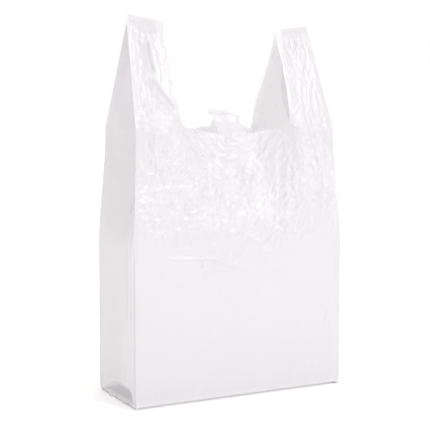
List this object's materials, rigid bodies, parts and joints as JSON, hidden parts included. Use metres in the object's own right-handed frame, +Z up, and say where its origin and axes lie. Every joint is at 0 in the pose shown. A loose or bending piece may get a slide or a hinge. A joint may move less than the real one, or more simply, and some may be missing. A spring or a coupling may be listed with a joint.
{
  "type": "plastic carrier bag",
  "caption": "Vest-shaped carrier bag of thin white plastic film, standing open and empty, with two loop handles, side gussets, a small tab at its mouth and a folded base.",
  "frame": {"origin": "middle of the base, on the surface the bag stands on", "axes": "+Z up; +X along the front towards the right handle; +Y from the front to the back"},
  "size_m": [0.282, 0.111, 0.459],
  "materials": {
    "film": "thin blown polyethylene film, white, slightly see-through, crinkled and softly glossy"
  },
  "bodies": {
    "root": {"bag": "film"}
  },
  "joints": []
}
